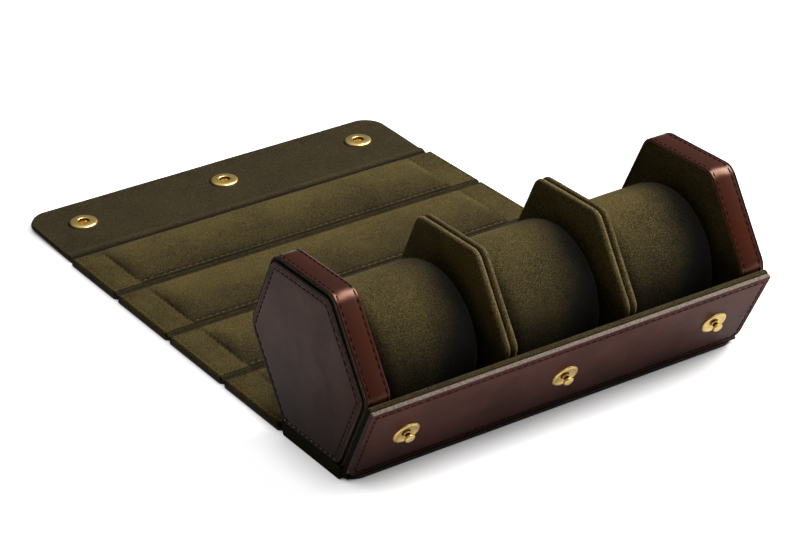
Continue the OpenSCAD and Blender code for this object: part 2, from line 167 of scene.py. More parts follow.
# Gloss sees the studio: dim walls, and a white ceiling over the case.
studio = add_node(sky, "ShaderNodeMapRange", {
    "Value": height.outputs["Z"], "From Min": 0.55, "From Max": 0.9, "To Min": wall_strength,
    "To Max": ceiling_strength})
mirrored = add_node(sky, "ShaderNodeMix", {
    "Factor": seen.outputs["Is Glossy Ray"], "A": ambient_strength, "B": studio}, data_type="FLOAT")
strength = add_node(sky, "ShaderNodeMix", {
    "Factor": seen.outputs["Is Camera Ray"], "A": mirrored, "B": backdrop_strength}, data_type="FLOAT")
sky_light = add_node(sky, "ShaderNodeBackground", {"Color": colour("FFFFFF"), "Strength": strength})
add_node(sky, "ShaderNodeOutputWorld", {"Surface": sky_light})

# White paper, matt. To the camera and in gloss it glows as well, as a backdrop lit from behind does,
# but ambient occlusion dims the glow where the case stands close over it: a painted contact shadow
# round the case, along with its own shadow.
glow_in_gloss = 0.4
paper_half = 4.0
paper, tree = new_material("white paper, matt")
seen = add_node(tree, "ShaderNodeLightPath")
near_case = add_node(tree, "ShaderNodeAmbientOcclusion", {"Distance": 0.028}, samples=8)
open_floor = add_node(tree, "ShaderNodeMapRange", {
    "Value": near_case.outputs["AO"], "From Min": 0.1, "From Max": 0.85, "To Max": 0.94})
seen_through = add_node(tree, "ShaderNodeMath", {
    0: seen.outputs["Is Camera Ray"], 1: seen.outputs["Is Transmission Ray"]}, operation="MAXIMUM")
looked_at = add_node(tree, "ShaderNodeMath", {
    0: seen.outputs["Is Glossy Ray"], 1: glow_in_gloss, 2: seen_through}, operation="MULTIPLY_ADD")
glow = add_node(tree, "ShaderNodeMath", {0: open_floor, 1: looked_at}, operation="MULTIPLY")
paper_glow = add_node(tree, "ShaderNodeEmission", {"Color": colour("FFFFFF"), "Strength": glow})
lit_paper = add_node(tree, "ShaderNodeBsdfDiffuse", {"Color": colour("E8E8E8")})
paper_look = add_node(tree, "ShaderNodeAddShader", {0: lit_paper, 1: paper_glow})
add_node(tree, "ShaderNodeOutputMaterial", {"Surface": paper_look})
paper_mesh = bpy.data.meshes.new("paper")
paper_corners = [(x * paper_half, y * paper_half, 0.0) for x, y in ((-1, -1), (1, -1), (1, 1), (-1, 1))]
paper_mesh.from_pydata(paper_corners, [], [(0, 1, 2, 3)])
paper_mesh.materials.append(paper)
place_in_scene("paper", paper_mesh)

# The base: calf leather against the table, a board on it, and suede over the board. The leather
# reaches out under the front panel, and a strip binds the suede to each end cap.
mm = 0.001


def low(node):
    """Lowest corner of a part of the case, in millimetres."""
    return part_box(node)[0] / mm


def high(node):
    """Highest corner of a part of the case, in millimetres."""
    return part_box(node)[1] / mm


def rectangle_inset(x0, x1, y0, y1, radii, inset, steps=8):
    """Points round a rounded rectangle moved in by inset, anticlockwise from its lower left corner."""
    x0, x1, y0, y1 = x0 + inset, x1 - inset, y0 + inset, y1 - inset
    corners = [(x0, y0, 1, 1, 180), (x1, y0, -1, 1, 270), (x1, y1, -1, -1, 0), (x0, y1, 1, -1, 90)]
    points = []
    for (x, y, inwards_x, inwards_y, start), radius in zip(corners, radii):
        r = max(radius - inset, 0.02)
        for k in range(steps + 1):
            a = math.radians(start + 90 * k / steps)
            points.append((x + inwards_x * r + r * math.cos(a), y + inwards_y * r + r * math.sin(a)))
    return points


def outline_of(node, radii):
    """The outline of a part that lies flat, as a function of how far it is moved in."""
    start, end = low(node), high(node)
    return lambda inset: rectangle_inset(start.x, end.x, start.y, end.y, radii, inset)


def cut_edge(thick, rounding, grooves=(), flat=0.8, steps=4):
    """(inset, height, is the edge) round a sheet's edge, from its flesh side to its grooved grain side."""
    arc = [math.radians(90 * k / steps) for k in range(steps + 1)]
    profile = [(rounding + flat, 0.0, False)]
    profile += [(rounding * (1 - math.sin(a)), rounding * (1 - math.cos(a)), True) for a in arc]
    profile += [(rounding * (1 - math.cos(a)), thick - rounding * (1 - math.sin(a)), k < steps / 2 + 0.5)
                for k, a in enumerate(arc)]
    profile.append((rounding + 0.1, thick, False))
    for inset, depth, half in grooves:
        for share, dip in ((-1.0, 0.0), (-0.5, 0.75), (0.0, 1.0), (0.5, 0.75), (1.0, 0.0)):
            profile.append((inset + share * half, thick - dip * depth, False))
    profile.append((profile[-1][0] + flat, thick, False))
    return profile


def skin_rings(rings, closed=False):
    """Faces between rings of equally many points. Closed rings join last to first, others are capped."""
    n, count = len(rings[0]), len(rings)
    faces = []
    for r in range(count if closed else count - 1):
        here, above = r * n, (r + 1) % count * n
        faces += [(here + i, here + (i + 1) % n, above + (i + 1) % n, above + i) for i in range(n)]
    if not closed:
        faces += [tuple(range(n - 1, -1, -1)), tuple((count - 1) * n + i for i in range(n))]
    return [p for ring in rings for p in ring], faces


def make_piece(name, points, faces, finishes, body, stands_for, which=None, crisp=40):
    """A closed piece from points in millimetres, riding on a body in place of the parts it stands for."""
    mesh = bpy.data.meshes.new(name)
    mesh.from_pydata([Vector(p) * mm for p in points], [], faces)
    for finish in finishes:
        mesh.materials.append(finish)
    if which:
        mesh.polygons.foreach_set("material_index", which)
    work = bmesh.new()
    work.from_mesh(mesh)
    bmesh.ops.recalc_face_normals(work, faces=work.faces)
    work.to_mesh(mesh)
    work.free()
    mesh.shade_smooth()
    mesh.set_sharp_from_angle(angle=math.radians(crisp))
    piece = place_in_scene(name, mesh)
    if body:
        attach(piece, body)
    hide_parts(*stands_for)
    return piece


def ringed_piece(name, rings, finishes, body, stands_for, finish_of=None, closed=False, crisp=40):
    """A piece skinned over rings. finish_of(ring, place in it) picks the finish of a face after the first."""
    points, faces = skin_rings(rings, closed)
    n = len(rings[0])
    sides = n * (len(rings) if closed else len(rings) - 1)
    which = finish_of and [int(f < sides and finish_of(f // n, f % n)) for f in range(len(faces))]
    return make_piece(name, points, faces, finishes, body, stands_for, which, crisp)


def sheet_of_leather(name, outline, profile, place, finishes, body, stands_for,
                     edge_finish=lambda u, v: 1):
    """A cut sheet whose outline is given for any inset, with its edge in the second finish or another."""
    rings = [[place(u, v, height) for u, v in outline(inset)] for inset, height, _ in profile]
    rim = outline(0.0)
    return ringed_piece(
        name, rings, finishes, body, stands_for,
        lambda r, i: edge_finish(*rim[i]) if profile[r][2] and profile[r + 1][2] else 0)


def paint_light_and_shade(piece, direction):
    """Records painted light (above 0) and painted shade (below 0) at each point, given in millimetres, in the
    attribute "nap".
    """
    nap = piece.data.attributes.new("nap", "FLOAT", "POINT")
    nap.data.foreach_set("value", [direction(v.co / mm) for v in piece.data.vertices])


# Calf leather, drum-dyed, glazed and polished: a fine closed grain, faint clouding from the dye and
# a soft gloss. An upright face is painted darker towards its foot, by the share given: painted shade.
def calf_leather(name, face, cloud, roughness, shine, tint, foot=1.0):
    material, tree = new_material(name)
    where = add_node(tree, "ShaderNodeTexCoord").outputs["Object"]
    clouds = add_node(tree, "ShaderNodeTexNoise", {
        "Vector": where, "Scale": 1 / (22 * mm), "Detail": 4.0, "Roughness": 0.6})
    fine = add_node(tree, "ShaderNodeTexNoise", {"Vector": where, "Scale": 1 / (0.5 * mm), "Detail": 2.0})
    grain = add_node(tree, "ShaderNodeTexVoronoi", {"Vector": where, "Scale": 1 / (0.75 * mm)},
                     feature="SMOOTH_F1")
    clouding = add_node(tree, "ShaderNodeMapRange", {"Value": clouds, "From Min": 0.35, "From Max": 0.68})
    dyed = add_node(tree, "ShaderNodeMix", {"Factor": clouding, "A": colour(face), "B": colour(cloud)},
                    data_type="RGBA")
    upright = add_node(tree, "ShaderNodeSeparateXYZ", {"Vector": where})
    # Painted shade: the colour falls from full at 56 mm up to the share foot at 2 mm up.
    painted_foot_shade = add_node(tree, "ShaderNodeMapRange", {
        "Value": upright.outputs["Z"], "From Min": 2 * mm, "From Max": 56 * mm, "To Min": foot})
    dye_with_painted_foot_shade = add_node(tree, "ShaderNodeVectorMath", {0: dyed, "Scale": painted_foot_shade}, operation="SCALE")
    polish = add_node(tree, "ShaderNodeMapRange", {
        "Value": clouds, "From Min": 0.3, "From Max": 0.7, "To Min": roughness - 0.04,
        "To Max": roughness + 0.06})
    heights = add_node(tree, "ShaderNodeMix", {"Factor": 0.35, "A": grain, "B": fine}, data_type="FLOAT")
    relief = add_node(tree, "ShaderNodeBump", {"Height": heights, "Strength": 0.16, "Distance": 0.12 * mm})
    return with_surface(material, {
        "Base Color": dye_with_painted_foot_shade, "Roughness": polish, "IOR": 1.5, "Specular IOR Level": shine,
        "Specular Tint": colour(tint), "Normal": relief})


# Wood pulp, thread, brass and cut leather each show two tones, in specks or fibres of one size.
def two_toned(name, speck, deep, pale, surface, grain, spread=None, relief=None, polish=None):
    """surface holds shader inputs and grain those of the noise, whose specks are in millimetres. spread
    is the part of it that the tones take up, relief a bump's strength and depth, polish the roughness."""
    material, tree = new_material(name)
    where = add_node(tree, "ShaderNodeTexCoord")
    specks = add_node(tree, "ShaderNodeTexNoise", {
        "Vector": where.outputs["Object"], "Scale": 1 / (speck * mm), **grain})
    share = specks
    if spread:
        share = add_node(tree, "ShaderNodeMapRange", {
            "Value": specks, "From Min": spread[0], "From Max": spread[1]})
    tone = add_node(tree, "ShaderNodeMix", {"Factor": share, "A": colour(deep), "B": colour(pale)},
                    data_type="RGBA")
    surface = {"Base Color": tone, **surface}
    if relief:
        surface["Normal"] = add_node(tree, "ShaderNodeBump", {
            "Height": specks, "Strength": relief[0], "Distance": relief[1] * mm})
    if polish:
        surface["Roughness"] = add_node(tree, "ShaderNodeMapRange", {
            "Value": specks, "To Min": polish[0], "To Max": polish[1]})
    return with_surface(material, surface)


# A cut and waxed leather edge: paler than the face, with fibres that run along it.
def leather_edge(name, pale, deep):
    return two_toned(name, 0.9, deep, pale, {"Roughness": 0.6, "Specular IOR Level": 0.2},
                     {"Detail": 4.0, "Roughness": 0.7}, (0.35, 0.62), (0.4, 0.15))


# Split suede, brushed: a short nap that lies in soft swirls, lighter where it stands towards the
# light, with a pale fuzz along edges. Real nap is about 0.3 mm long, too fine to show here, so its
# speckle is drawn 0.4 mm across or more. The attribute "nap" holds painted light and shade: it scales
# the colour up where light is painted and down where shade is painted.
# The three patterns are given by size in millimetres, detail, roughness, warp, least level and most tone.
swirls_mottle_and_nap = ((26, 3.0, 0.55, 0.6, 0.3, 0.24), (3.2, 2.0, 0.5, 0.0, 0.3, 0.08),
                         (0.4, 1.0, 0.5, 0.0, 0.46, 1.1))


def suede(name, laid, raised, fuzz, sheen):
    material, tree = new_material(name)
    where = add_node(tree, "ShaderNodeTexCoord").outputs["Object"]
    patterns, tones = [], []
    for size, detail, rough, warp, least, most in swirls_mottle_and_nap:
        pattern = add_node(tree, "ShaderNodeTexNoise", {
            "Vector": where, "Scale": 1 / (size * mm), "Detail": detail, "Roughness": rough,
            "Distortion": warp})
        patterns.append(pattern)
        tones.append(add_node(tree, "ShaderNodeMapRange", {
            "Value": pattern, "From Min": least, "From Max": 0.7, "To Max": most}))
    _, mottle, nap = patterns
    swirl, patchy, speckle = tones
    brushed = add_node(tree, "ShaderNodeMath", {0: swirl, 1: patchy}, operation="ADD")
    napped = add_node(tree, "ShaderNodeMath", {0: brushed, 1: speckle}, operation="ADD")
    # Painted light and shade: the "nap" attribute scales the suede's colour up or down.
    painted_light_and_shade = add_node(tree, "ShaderNodeAttribute", attribute_name="nap")
    painted_light_gain = add_node(tree, "ShaderNodeMath", {0: painted_light_and_shade.outputs["Fac"], 1: 0.6, 2: 1.0},
                           operation="MULTIPLY_ADD")
    tone = add_node(tree, "ShaderNodeMix", {"Factor": napped, "A": colour(laid), "B": colour(raised)},
                    data_type="RGBA")
    tone_with_painted_light = add_node(tree, "ShaderNodeVectorMath", {0: tone, "Scale": painted_light_gain},
                            operation="SCALE")
    heights = add_node(tree, "ShaderNodeMix", {"Factor": 0.25, "A": nap, "B": mottle}, data_type="FLOAT")
    relief = add_node(tree, "ShaderNodeBump", {"Height": heights, "Strength": 0.55, "Distance": 0.3 * mm})
    return with_surface(material, {
        "Base Color": tone_with_painted_light, "Roughness": 0.95, "Specular IOR Level": 0.1, "Sheen Weight": sheen,
        "Sheen Roughness": 0.3, "Sheen Tint": colour(fuzz), "Normal": relief})


plum = calf_leather("calf leather, plum, polished", "4A2F28", "3A2520", 0.38, 0.07, "FFE0D2")
plum_edge = leather_edge("calf leather, waxed plum edge", "463631", "261C1A")
olive = suede("split suede, olive, brushed", "1E1A0C", "6F5F31", "B49C60", 0.3)
# A copy of the olive suede painted dark, as painted shade, for surfaces that stand in shade.
olive_painted_shade = suede("split suede, olive, painted dark as shade", "1A170F", "342E20", "6A634E", 0.15)
on_leather = 2.7
leather_groove = (on_leather, 0.28, 0.55)
base_high = high("base_leather")
base_top = high("base_lining").z
base_outline = outline_of("base_leather", (8.0, 8.0, 2.0, 2.0))


def grain_down(top):
    """Lays a sheet flat with its grain side on the table, its flesh side at the height given."""
    return lambda x, y, height: (x, y, top - height)


def grain_up(bottom):
    """Lays a sheet flat with its grain or nap side up, its underside at the height given."""
    return lambda x, y, height: (x, y, bottom + height)


sheet_of_leather("base_calf", base_outline, cut_edge(base_high.z, 0.5, [leather_groove]),
                 grain_down(base_high.z), (plum, plum_edge), "tray", ["base_leather"])
sheet_of_leather("base_suede", outline_of("base_lining", (1.0,) * 4),
                 cut_edge(base_top - base_high.z, 0.7), grain_up(base_high.z), (olive, olive), "tray",
                 ["base_lining"])
strips_low, strips_high = low("base_end_strips"), high("base_end_strips")
case_half = strips_high.x
strip_thick = case_half - base_high.x
sides = ((-1, "left"), (1, "right"))
# The base's end strips take the olive suede painted dark as shade.
for side, hand in sides:
    sheet_of_leather(f"base_{hand}_strip",
                     lambda inset: rectangle_inset(strips_low.y, strips_high.y, 0.0, strips_high.z,
                                                   (1.2, 1.2, 0.3, 0.3), inset),
                     cut_edge(strip_thick, 0.35, flat=0.4),
                     lambda y, z, out: (side * (case_half - strip_thick + out), y, z),
                     (olive_painted_shade, olive_painted_shade), "tray", ["base_end_strips"])

# Three floor pads: foam under suede, glued to the base between the dividers, so that a cushion
# doesn't knock against the board.
floor_low, floor_high = low("floor_pads"), high("floor_pads")
beside = 0.5
pad_spans = {"left": (floor_low.x, low("divider_left_outer_cover").x - beside),
             "middle": (high("divider_left_inner_cover").x + beside,
                        low("divider_right_inner_cover").x - beside),
             "right": (high("divider_right_outer_cover").x + beside, floor_high.x)}
for hand, (x0, x1) in pad_spans.items():
    pad = sheet_of_leather(
        f"floor_pad_{hand}",
        lambda inset: rectangle_inset(x0, x1, floor_low.y, floor_high.y, (3.0,) * 4, inset),
        cut_edge(floor_high.z - base_top, 1.2, steps=6), grain_up(base_top), (olive, olive), "tray",
        ["floor_pads"])

# The end caps: a hexagonal leather plate with a creased line and a saddle-stitched edge, laid on a
# wider felt backing, and a chestnut band sewn round a board with a suede face.
cap_low, cap_high = low("cap_left_band"), high("cap_left_band")
cap_apothem = (cap_high.z - cap_low.z) / 2
cap_side = 2 * cap_apothem * math.tan(math.radians(30))
cap_middle = (cap_high.z + cap_low.z) / 2


def rounded_hexagon(apothem, radius, foot=None, steps=6):
    """(y, z) points round a hexagon with flats above and below; foot lowers the flat below to that z."""
    slope = math.tan(math.radians(30))
    drop = apothem if foot is None else cap_middle - foot
    shoulder = apothem / math.cos(math.radians(30))
    toe = shoulder - drop * slope
    half = apothem * slope
    corners = [(toe, -drop), (shoulder, 0.0), (half, apothem), (-half, apothem), (-shoulder, 0.0),
               (-toe, -drop)]
    points = []
    for i, corner in enumerate(corners):
        here = Vector(corner)
        before = (here - Vector(corners[i - 1])).normalized()
        after = (Vector(corners[(i + 1) % 6]) - here).normalized()
        middle = here - before * radius * slope + Vector((-before.y, before.x)) * radius
        turn = math.atan2(before.x * after.y - before.y * after.x, before.dot(after))
        start = math.atan2(-before.x, before.y)
        for k in range(steps + 1):
            a = start + turn * k / steps
            points.append((middle.x + radius * math.cos(a), cap_middle + middle.y + radius * math.sin(a)))
    return points


def hexagon_inset(apothem, radius, inset, foot=None):
    """The same outline, moved in by inset all round."""
    raised = None if foot is None else foot + inset
    return rounded_hexagon(apothem - inset, max(radius - inset, 0.05), raised)


# The plate's face is painted darker towards its foot as painted shade.
plate_calf = calf_leather("calf leather, plum, polished plate", "603C31", "4A3128", 0.38, 0.07, "FFE0D2",
                          0.2)
plate_edge = leather_edge("calf leather, waxed plate edge", "6E5C55", "3A2D2A")
chestnut = calf_leather("calf leather, chestnut, glazed", "4A1F11", "38130A", 0.3, 0.44, "FFBC9C")
chestnut_edge_and_highlight = leather_edge("calf leather, waxed chestnut edge, partly painted highlight", "8A5F49", "5A3022")
felt = suede("wool felt, grey olive", "2E2A20", "5A5244", "A89E86", 0.3)
plate_low, plate_high = low("cap_right_plate"), high("cap_right_plate")
plate_apothem = (plate_high.z - plate_low.z) / 2
plate_thick = plate_high.x - plate_low.x
band_corner = 8.0
plate_corner = band_corner - (cap_apothem - plate_apothem)
band_in, band_out = low("cap_right_band").x, high("cap_right_band").x
face_out = high("cap_right_lining").x
backing_out = high("cap_right_backing").x
band_thick = 1.6
band_stitch = 1.65
groove_half = 0.45
groove_deep = 0.16
crease_line = (1.3, 0.22, 0.3)
plate_groove = (on_leather, 0.2, 0.5)
# Each profile runs round a ring's section, as (inset from the cap's edge, distance from the middle).
# In the felt, a shadow line runs round the plate, where it is pressed down; its pressed rings are also
# painted dark, a painted shadow.
pressed = backing_out - 0.7
backing_profile = [
    (6.0, band_out), (0.8, band_out), (0.25, band_out + 0.1), (0.0, band_out + 0.35),
    (0.12, backing_out - 0.15), (0.35, backing_out), (0.85, backing_out - 0.03),
    (1.0, backing_out - 0.15), (1.1, pressed), (2.5, pressed), (2.8, backing_out), (6.0, backing_out)]
painted_shadow_rings = range(7, 10)
inner_row, outer_band_row = band_in + band_stitch, band_out - band_stitch
band_profile = [
    (band_thick - 0.1, band_in + 0.9), (band_thick - 0.2, band_in + 0.35),
    (band_thick - 0.5, band_in + 0.05), (band_thick - 0.8, band_in), (0.6, band_in + 0.1),
    (0.25, band_in + 0.35), (0.05, band_in + 0.75), (0.0, inner_row - groove_half),
    (groove_deep, inner_row), (0.0, inner_row + groove_half), (-0.05, (band_in + band_out) / 2),
    (0.0, outer_band_row - groove_half), (groove_deep, outer_band_row),
    (0.0, outer_band_row + groove_half), (0.05, band_out - 0.5), (0.2, band_out - 0.2),
    (0.5, band_out - 0.03), (band_thick - 0.1, band_out)]
# The band's inner rim is paler: partly its cut edge's own colour and partly a painted highlight.
cut_edge_and_highlight_rings = range(4)
face_profile = [
    (8.0, face_out), (band_thick, face_out), (band_thick - 0.02, band_in + 0.9),
    (band_thick + 0.5, band_in + 0.55), (band_thick + 1.6, band_in + 0.35),
    (band_thick + 5.0, band_in + 0.2)]


def cap_rings(side, profile):
    """Rings round an end cap, on the left (-1) or the right (1)."""
    return [[(side * x, y, z) for y, z in hexagon_inset(cap_apothem, band_corner, inset)]
            for inset, x in profile]


for side, hand in sides:
    sheet_of_leather(f"cap_{hand}_calf", lambda inset: hexagon_inset(plate_apothem, plate_corner, inset),
                     cut_edge(plate_thick, 0.5, [crease_line, plate_groove]),
                     lambda y, z, height: (side * (case_half - plate_thick + height), y, z),
                     (plate_calf, plate_edge), "tray", [f"cap_{hand}_plate"])
    # The felt's pressed rings take the olive suede painted dark as shade.
    ringed_piece(f"cap_{hand}_backing_felt", cap_rings(side, backing_profile), (felt, olive_painted_shade), "tray",
                 [f"cap_{hand}_backing"], lambda r, i: r in painted_shadow_rings)
    ringed_piece(f"cap_{hand}_band_calf", cap_rings(side, band_profile), (chestnut, chestnut_edge_and_highlight), "tray",
                 [f"cap_{hand}_band"], lambda r, i: r in cut_edge_and_highlight_rings, closed=True)
    face = ringed_piece(f"cap_{hand}_suede", cap_rings(side, face_profile), (olive,), "tray",
                        [f"cap_{hand}_lining"])
    # Painted shade: the suede face is darkened, most towards the foot of the compartment.
    paint_light_and_shade(face, lambda p: -1.2 + 1.1 * (p.z - base_top) / (2 * cap_apothem))

# The dividers: two padded boards back to back, each in its own suede cover, glued together so that
# a dark seam runs round the middle of the edge. They stand on the base.
# The rounded edges of the covers take a paler suede with more sheen: a painted highlight.
olive_painted_highlight = suede("split suede, olive, rubbed up along an edge", "2C2613", "927E4C", "C4B488", 0.45)
divider_apothem = high("divider_left_outer_cover").z - cap_middle
divider_corner = 7.0
ripple_deep, ripple_scale = 0.12, 0.12
cover_profile = [
    (4.0, 0.0), (1.7, 0.0), (1.0, 0.05), (0.45, 0.14), (0.12, 0.27), (0.0, 0.43), (0.06, 0.58),
    (0.28, 0.73), (0.7, 0.87), (1.3, 0.96), (2.2, 1.0), (4.5, 1.03), (8.0, 1.04), (14.0, 1.0)]
painted_highlight_rings = range(2, 8)


def deep_painted_shade(p):
    """Painted shade low on an upright face in its compartment, fading up its height to painted light near the
    top.
    """
    return min(0.5, -1.3 + 2.2 * (p.z - base_top) / (2 * cap_apothem))


for half, faces_left in (("left_outer", True), ("left_inner", False), ("right_inner", True),
                         ("right_outer", False)):
    cover = f"divider_{half}_cover"
    x_front, x_back = (low(cover).x, high(cover).x) if faces_left else (high(cover).x, low(cover).x)
    rings = []
    for inset, share in cover_profile:
        ring = []
        for y, z in hexagon_inset(divider_apothem, divider_corner, inset, base_top):
            ripple = ripple_deep * noise.noise(Vector((x_back, y * ripple_scale, z * ripple_scale)))
            above_foot = z > base_top + 2
            ring.append((x_back + (x_front - x_back) * share, y + ripple, z + ripple * above_foot))
        rings.append(ring)
    piece = ringed_piece(f"divider_{half}_suede", rings, (olive, olive_painted_highlight), "tray", [cover],
                         lambda r, i: r in painted_highlight_rings)
    # Painted shade: the cover's face turned left darkens towards its foot, and the rest is darkened a little.
    paint_light_and_shade(piece, lambda p: deep_painted_shade(p) if p.x < x_back else -0.3)

# The front panel: a board wrapped in suede over its top and ends, faced with plum calf that is
# creased and saddle-stitched round its edge. It leans out on the end caps' lower front sides.
front_lean = math.radians(30)
front_foot = (-cap_side / 2, base_top)
front_half = high("front_leather").x
front_thick = 5.0
front_leather_thick = 2.2
front_top = cap_side - 0.6
front_suede_top = cap_side - 0.3
front_radii = (6.0, 6.0, 1.2, 1.2)


def on_front(x, up, out):
    """A point on the front panel, from the foot of the end caps' lower front side."""
    y = front_foot[0] - up * math.sin(front_lean) - out * math.cos(front_lean)
    z = front_foot[1] + up * math.cos(front_lean) - out * math.sin(front_lean)
    return (x, y, z)


def front_outline(inset):
    return rectangle_inset(-front_half, front_half, 0.0, front_top, front_radii, inset)


# The front's face is painted darker towards its foot as painted shade.
front_calf = calf_leather("calf leather, plum, glazed front", "692F21", "51271A", 0.34, 0.08, "FFC8B4", 0.32)
front_edge_painted_highlight = leather_edge("calf leather, waxed edge painted pale as a highlight", "8A7463", "483A30")
# The panel's top edge is painted pale as a highlight; its ends keep the dark waxed edge.
sheet_of_leather("front_calf", front_outline,
                 cut_edge(front_leather_thick, 0.45, [(1.35, 0.22, 0.32), (on_leather, 0.2, 0.5)]),
                 lambda x, up, height: on_front(x, up, front_thick - front_leather_thick + height),
                 (front_calf, front_edge_painted_highlight, plum_edge), "tray", ["front_leather"],
                 edge_finish=lambda x, up: 1 if up > front_top - 0.5 else 2)
suede_edge = [(4.0, 0.0), (1.5, 0.0), (0.75, 0.2), (0.25, 0.65), (0.02, 1.3), (0.0, 1.7), (0.05, 2.2),
              (0.25, 2.6), (0.7, 2.78), (2.0, 2.8)]
rings = [[on_front(x, up, out) for x, up in rectangle_inset(-front_half, front_half, 0.0, front_suede_top,
                                                            (1.5,) * 4, inset)] for inset, out in suede_edge]
# The suede on the front panel's two ends is the olive painted dark as shade.
upright = [abs(here[0] + after[0]) > 2 * front_half - 0.5
           for here, after in zip(rings[5], rings[5][1:] + rings[5][:1])]
front_suede = ringed_piece("front_suede", rings, (olive, olive_painted_shade), "tray", ["front_lining"],
                           lambda r, i: upright[i])
# Painted shade: all of the front panel's suede is darkened.
paint_light_and_shade(front_suede, lambda p: -0.6)
filler_low, filler_high = low("front_fold_filler"), high("front_fold_filler")
filler_outline = [(filler_high.y, filler_low.z), (filler_high.y, filler_high.z - 0.1),
                  (filler_low.y, filler_low.z + 0.85), (filler_low.y - 0.1, filler_low.z + 0.4),
                  (filler_low.y, filler_low.z)]
# The foot's suede is the olive painted dark as shade.
ringed_piece("front_foot_suede",
             [[(x, y, z) for y, z in filler_outline] for x in (filler_low.x, filler_high.x)], (olive_painted_shade,),
             "tray", ["front_fold_filler"])

# The wrap: four padded panels, each a calf leather outside, a board, a foam pad and suede over it.
# The suede is sewn down along two end margins and along the folds, so the padding crowns between.
panels = ("back_lower", "back_upper", "top", "front_upper")
fold_of = {j["child"]: Vector(j["pos_m"]) / mm for j in frame["joints"] if j["type"] == "hinge"}
margin_top = high("back_lower_board").z + 0.9
pad_crown = high("back_lower_lining").z - margin_top
setback = 0.6
margin = 15.6
outer_row = 2.6
seam_row = 3.3


def fine_steps(start, end, spots, coarse):
    """Numbers from start to end, close together round each (place, reach) of spots and coarse elsewhere."""
    marks = {round(start, 3), round(end, 3)}
    for place, reach in spots:
        for share in (-1.0, -0.55, -0.25, 0.0, 0.25, 0.55, 1.0):
            value = place + share * reach
            if start < value < end:
                marks.add(round(value, 3))
    ordered = sorted(marks)
    steps = [ordered[0]]
    for value in ordered[1:]:
        parts = max(1, math.ceil((value - steps[-1]) / coarse))
        first = steps[-1]
        steps += [first + (value - first) * k / parts for k in range(1, parts + 1)]
    return steps


def grid_solid(xs, ys, surface, underside):
    """A closed solid over a grid of x and y, with its top and bottom given as points."""
    rows, columns = len(ys), len(xs)
    points = [surface(x, y) for y in ys for x in xs] + [underside(x, y) for y in ys for x in xs]
    count = rows * columns
    faces = []
    for r in range(rows - 1):
        for c in range(columns - 1):
            i = r * columns + c
            faces.append((i, i + 1, i + columns + 1, i + columns))
            faces.append((count + i, count + i + columns, count + i + columns + 1, count + i + 1))
    rim = ([c for c in range(columns)] + [r * columns + columns - 1 for r in range(1, rows)]
           + [(rows - 1) * columns + c for c in range(columns - 2, -1, -1)]
           + [r * columns for r in range(rows - 2, 0, -1)])
    for here, after in zip(rim, rim[1:] + rim[:1]):
        faces.append((here, count + here, count + after, after))
    return points, faces


def ease(value):
    """A quarter of a circle: 0 at 0, rising steeply at first, 1 at 1 and after."""
    value = min(max(value, 0.0), 1.0)
    return math.sqrt(1 - (1 - value) ** 2)


def bell(distance, reach):
    """1 at no distance, falling away within reach."""
    return math.exp(-(distance / reach) ** 2)


def panel_height(x, y, x_half, y0, y1, crown_seed):
    """Height of a panel's suede: flat margins, sewn rows, and a pad that crowns between them."""
    pad_half = x_half + setback - margin
    on_pad = abs(x) < pad_half
    along = 1 - (1 - min((pad_half - abs(x)) / 8.0, 1.0)) ** 2.2 if on_pad else 0.0
    start, end = y0 + seam_row, y1 - 0.5
    across = abs(2 * (y - start) / (end - start) - 1)
    bulge = (1 - across ** 2.3) ** 0.8 if across < 1 else 0.0
    spot = Vector((x * 0.055, y * 0.055, crown_seed))
    swell = pad_crown * bulge * along * (0.94 + 0.06 * noise.noise(spot * 1.7))
    swell += 0.10 * noise.noise(spot * 3.1) * along
    pucker = 0.14 * noise.noise(Vector((0.0, y * 0.42, crown_seed + 7)))
    pucker *= math.exp(-abs(pad_half - abs(x)) / 3.5)
    height = margin_top + swell + pucker
    height -= (0.28 * bell(abs(x) - (x_half - outer_row + setback), 0.7)
               + 0.22 * bell(abs(x) - pad_half, 0.8))
    if on_pad:
        height -= 0.5 * bell(y - start, 0.7)
        height += 0.55 * bell(y - y0 - 1.5, 1.1) * along
    rim = min(x_half - abs(x), y - y0, y1 - y)
    return height - 1.0 * (1 - ease(rim / 1.1))


def panel_spans(panel):
    """Half the length of a panel's suede, its two edges across, and half the length of its pad."""
    x_half = high(f"{panel}_lining").x
    return x_half, low(f"{panel}_lining").y, high(f"{panel}_lining").y, x_half + setback - margin


